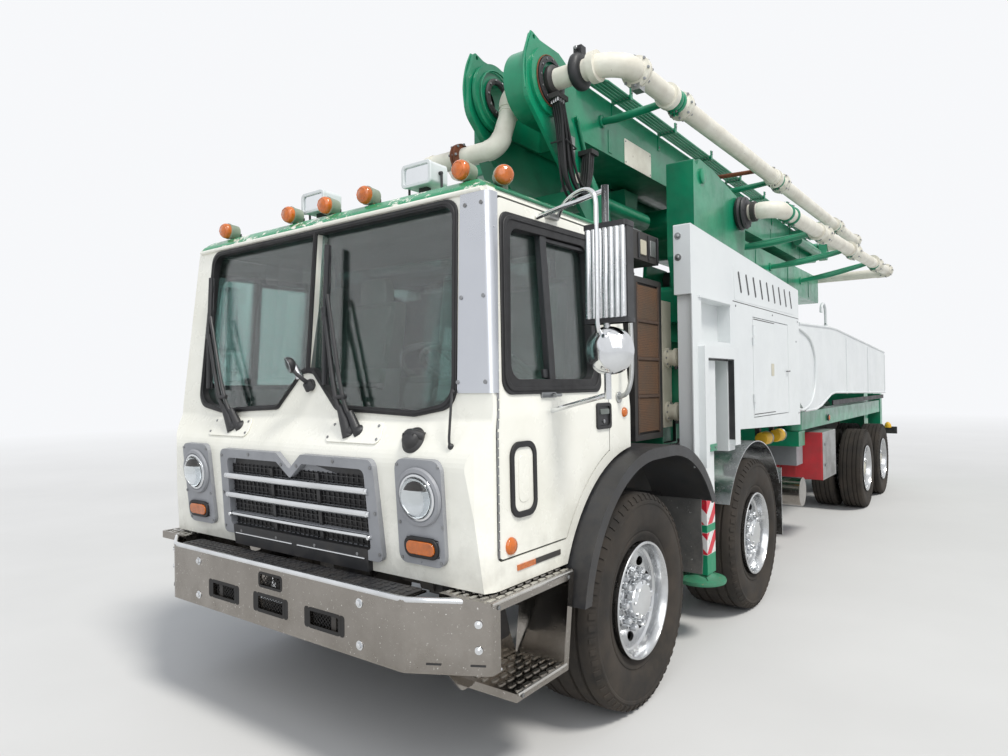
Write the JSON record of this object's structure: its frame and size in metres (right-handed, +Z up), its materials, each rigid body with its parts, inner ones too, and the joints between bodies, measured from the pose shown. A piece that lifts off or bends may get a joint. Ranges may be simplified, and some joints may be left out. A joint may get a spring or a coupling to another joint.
{
  "type": "concrete pump truck",
  "caption": "Four-axle concrete pump truck with a cab over the engine, folding delivery boom on a slewing turret, outriggers and a rear hopper.",
  "frame": {"origin": "on the ground under the middle of the machine's length and width", "axes": "+X forward towards the cab, +Y to the driver's left, +Z up"},
  "size_m": [11.8, 3.1, 4.0159],
  "materials": {
    "frame_paint": "satin",
    "machined_steel": "satin",
    "cab_paint": "gloss",
    "window_glass": "gloss",
    "cab_trim": "matte",
    "lamp_plastic": "gloss",
    "polished_aluminium": "polished",
    "black_plastic": "satin",
    "green_paint": "gloss",
    "white_paint": "gloss",
    "pipe_paint": "satin",
    "red_paint": "satin",
    "cast_knuckle": "rough",
    "tyre_rubber": "matte"
  },
  "bodies": {
    "root": {"chassis": "frame_paint", "axles": "frame_paint", "powertrain": "machined_steel", "cab_shell": "cab_paint", "cab_glass": "window_glass", "cab_interior": "cab_trim", "grille": "polished_aluminium", "lamps": "lamp_plastic", "bumper": "polished_aluminium", "fenders": "black_plastic", "mudguards": "polished_aluminium", "cooler": "frame_paint", "pedestal": "green_paint", "side_housings": "white_paint", "rear_body": "white_paint", "pump_unit": "machined_steel", "hopper": "green_paint", "service_boxes": "red_paint"},
    "knuckle_1_left": {"knuckle_1_left": "cast_knuckle"},
    "wheel_1_left": {"wheel_1_left": "tyre_rubber"},
    "knuckle_1_right": {"knuckle_1_right": "cast_knuckle"},
    "wheel_1_right": {"wheel_1_right": "tyre_rubber"},
    "knuckle_2_left": {"knuckle_2_left": "cast_knuckle"},
    "wheel_2_left": {"wheel_2_left": "tyre_rubber"},
    "knuckle_2_right": {"knuckle_2_right": "cast_knuckle"},
    "wheel_2_right": {"wheel_2_right": "tyre_rubber"},
    "wheel_3_left": {"wheel_3_left": "tyre_rubber"},
    "wheel_3_right": {"wheel_3_right": "tyre_rubber"},
    "wheel_4_left": {"wheel_4_left": "tyre_rubber"},
    "wheel_4_right": {"wheel_4_right": "tyre_rubber"},
    "door_left": {"door_left": "cab_paint"},
    "hatch_left": {"hatch_left": "white_paint"},
    "door_right": {"door_right": "cab_paint"},
    "hatch_right": {"hatch_right": "white_paint"},
    "hopper_grate": {"hopper_grate": "green_paint"},
    "agitator": {"agitator": "frame_paint"},
    "turret": {"turret": "green_paint"},
    "boom_a": {"boom_a": "green_paint", "pipe_a": "pipe_paint"},
    "boom_b": {"boom_b": "green_paint", "pipe_b": "pipe_paint"},
    "boom_c": {"boom_c": "green_paint", "pipe_c": "pipe_paint"},
    "boom_d": {"boom_d": "green_paint", "pipe_d": "pipe_paint"},
    "lift_barrel": {"lift_barrel": "frame_paint"},
    "lift_rod": {"lift_rod": "machined_steel"},
    "rod_b": {"rod_b": "machined_steel"},
    "rod_c": {"rod_c": "machined_steel"},
    "rod_d": {"rod_d": "machined_steel"},
    "front_arm_left": {"front_arm_left": "green_paint"},
    "front_leg_left": {"front_leg_left": "white_paint"},
    "rear_arm_left": {"rear_arm_left": "green_paint"},
    "rear_leg_left": {"rear_leg_left": "white_paint"},
    "front_arm_right": {"front_arm_right": "green_paint"},
    "front_leg_right": {"front_leg_right": "white_paint"},
    "rear_arm_right": {"rear_arm_right": "green_paint"},
    "rear_leg_right": {"rear_leg_right": "white_paint"}
  },
  "joints": [
    {"name": "steer_1_left", "type": "hinge", "parent": "root", "child": "knuckle_1_left", "pos_m": [4.51, 0.93, 0.555], "axis": [0, 0, 1], "range_deg": [-32, 32]},
    {"name": "roll_1_left", "type": "hinge", "parent": "knuckle_1_left", "child": "wheel_1_left", "pos_m": [4.51, 1.04, 0.555], "axis": [0, 1, 0], "continuous": true},
    {"name": "steer_1_right", "type": "hinge", "parent": "root", "child": "knuckle_1_right", "pos_m": [4.51, -0.93, 0.555], "axis": [0, 0, 1], "range_deg": [-32, 32]},
    {"name": "roll_1_right", "type": "hinge", "parent": "knuckle_1_right", "child": "wheel_1_right", "pos_m": [4.51, -1.04, 0.555], "axis": [0, 1, 0], "continuous": true},
    {"name": "steer_2_left", "type": "hinge", "parent": "root", "child": "knuckle_2_left", "pos_m": [2.56, 0.93, 0.555], "axis": [0, 0, 1], "range_deg": [-25, 25]},
    {"name": "roll_2_left", "type": "hinge", "parent": "knuckle_2_left", "child": "wheel_2_left", "pos_m": [2.56, 1.04, 0.555], "axis": [0, 1, 0], "continuous": true},
    {"name": "steer_2_right", "type": "hinge", "parent": "root", "child": "knuckle_2_right", "pos_m": [2.56, -0.93, 0.555], "axis": [0, 0, 1], "range_deg": [-25, 25]},
    {"name": "roll_2_right", "type": "hinge", "parent": "knuckle_2_right", "child": "wheel_2_right", "pos_m": [2.56, -1.04, 0.555], "axis": [0, 1, 0], "continuous": true},
    {"name": "roll_3_left", "type": "hinge", "parent": "root", "child": "wheel_3_left", "pos_m": [-2.44, 1.05, 0.52], "axis": [0, 1, 0], "continuous": true},
    {"name": "roll_3_right", "type": "hinge", "parent": "root", "child": "wheel_3_right", "pos_m": [-2.44, -1.05, 0.52], "axis": [0, 1, 0], "continuous": true},
    {"name": "roll_4_left", "type": "hinge", "parent": "root", "child": "wheel_4_left", "pos_m": [-3.81, 1.05, 0.52], "axis": [0, 1, 0], "continuous": true},
    {"name": "roll_4_right", "type": "hinge", "parent": "root", "child": "wheel_4_right", "pos_m": [-3.81, -1.05, 0.52], "axis": [0, 1, 0], "continuous": true},
    {"name": "door_left_swing", "type": "hinge", "parent": "root", "child": "door_left", "pos_m": [5.66, 1.175, 1.7], "axis": [0, 0, -1], "range_deg": [0, 70]},
    {"name": "hatch_left_swing", "type": "hinge", "parent": "root", "child": "hatch_left", "pos_m": [2.488, 1.226, 1.8], "axis": [0, 0, -1], "range_deg": [0, 110]},
    {"name": "door_right_swing", "type": "hinge", "parent": "root", "child": "door_right", "pos_m": [5.66, -1.175, 1.7], "axis": [0, 0, 1], "range_deg": [0, 70]},
    {"name": "hatch_right_swing", "type": "hinge", "parent": "root", "child": "hatch_right", "pos_m": [2.488, -1.226, 1.8], "axis": [0, 0, 1], "range_deg": [0, 110]},
    {"name": "grate_lift", "type": "hinge", "parent": "root", "child": "hopper_grate", "pos_m": [-4.75, 0, 1.4503], "axis": [0, 1, 0], "range_deg": [0, 90]},
    {"name": "agitator_spin", "type": "hinge", "parent": "root", "child": "agitator", "pos_m": [-5.19, 0, 1.08], "axis": [0, 1, 0], "continuous": true},
    {"name": "slew", "type": "hinge", "parent": "root", "child": "turret", "pos_m": [1.91, 0, 2.1], "axis": [0, 0, 1], "range_deg": [-185, 185]},
    {"name": "boom_a_raise", "type": "hinge", "parent": "turret", "child": "boom_a", "pos_m": [1.41, 0, 3.25], "axis": [0, 1, 0], "range_deg": [0, 90]},
    {"name": "boom_b_fold", "type": "hinge", "parent": "boom_a", "child": "boom_b", "pos_m": [-4.54, 0, 3.4], "axis": [0, -1, 0], "range_deg": [0, 180]},
    {"name": "boom_c_fold", "type": "hinge", "parent": "boom_b", "child": "boom_c", "pos_m": [3.91, 0, 3.74], "axis": [0, 1, 0], "range_deg": [0, 180]},
    {"name": "boom_d_fold", "type": "hinge", "parent": "boom_c", "child": "boom_d", "pos_m": [-4.25, 0, 3.87], "axis": [0, -1, 0], "range_deg": [0, 180]},
    {"name": "lift_swing", "type": "hinge", "parent": "turret", "child": "lift_barrel", "pos_m": [0.98, 0, 2.76], "axis": [0, 1, 0], "range_deg": [-1, 89]},
    {"name": "lift_stroke", "type": "slide", "parent": "lift_barrel", "child": "lift_rod", "axis": [-0.999, 0, 0.0438], "range_m": [0, 0.929]},
    {"name": "rod_b_stroke", "type": "slide", "parent": "boom_a", "child": "rod_b", "axis": [1, 0, 0], "range_m": [0, 0.45]},
    {"name": "rod_c_stroke", "type": "slide", "parent": "boom_b", "child": "rod_c", "axis": [-1, 0, 0], "range_m": [0, 0.45]},
    {"name": "rod_d_stroke", "type": "slide", "parent": "boom_c", "child": "rod_d", "axis": [1, 0, 0], "range_m": [0, 0.45]},
    {"name": "front_arm_left_slide", "type": "slide", "parent": "root", "child": "front_arm_left", "axis": [0, 1, 0], "range_m": [0, 1.45]},
    {"name": "front_leg_left_slide", "type": "slide", "parent": "front_arm_left", "child": "front_leg_left", "axis": [0, 0, -1], "range_m": [0, 0.38]},
    {"name": "rear_arm_left_swing", "type": "hinge", "parent": "root", "child": "rear_arm_left", "pos_m": [0.51, 1, 1.285], "axis": [0, 0, -1], "range_deg": [0, 35]},
    {"name": "rear_leg_left_slide", "type": "slide", "parent": "rear_arm_left", "child": "rear_leg_left", "axis": [0, 0, -1], "range_m": [0, 0.38]},
    {"name": "front_arm_right_slide", "type": "slide", "parent": "root", "child": "front_arm_right", "axis": [0, -1, 0], "range_m": [0, 1.45]},
    {"name": "front_leg_right_slide", "type": "slide", "parent": "front_arm_right", "child": "front_leg_right", "axis": [0, 0, -1], "range_m": [0, 0.38]},
    {"name": "rear_arm_right_swing", "type": "hinge", "parent": "root", "child": "rear_arm_right", "pos_m": [0.51, -1, 1.285], "axis": [0, 0, 1], "range_deg": [0, 35]},
    {"name": "rear_leg_right_slide", "type": "slide", "parent": "rear_arm_right", "child": "rear_leg_right", "axis": [0, 0, -1], "range_m": [0, 0.38]}
  ],
  "couplings": [
    {"joint": "steer_1_right", "follows": "steer_1_left", "ratio": 1},
    {"joint": "steer_2_left", "follows": "steer_1_left", "ratio": 0.75},
    {"joint": "steer_2_right", "follows": "steer_1_left", "ratio": 0.75},
    {"joint": "boom_b_fold", "follows": "boom_a_raise", "ratio": 2},
    {"joint": "lift_swing", "follows": "boom_a_raise", "ratio": 0.97214},
    {"joint": "lift_stroke", "follows": "boom_a_raise", "m_per_rad": 0.58485},
    {"joint": "rod_b_stroke", "follows": "boom_a_raise", "m_per_rad": 0.28011},
    {"joint": "rod_c_stroke", "follows": "boom_c_fold", "m_per_rad": 0.14006},
    {"joint": "rod_d_stroke", "follows": "boom_d_fold", "m_per_rad": 0.14006}
  ]
}
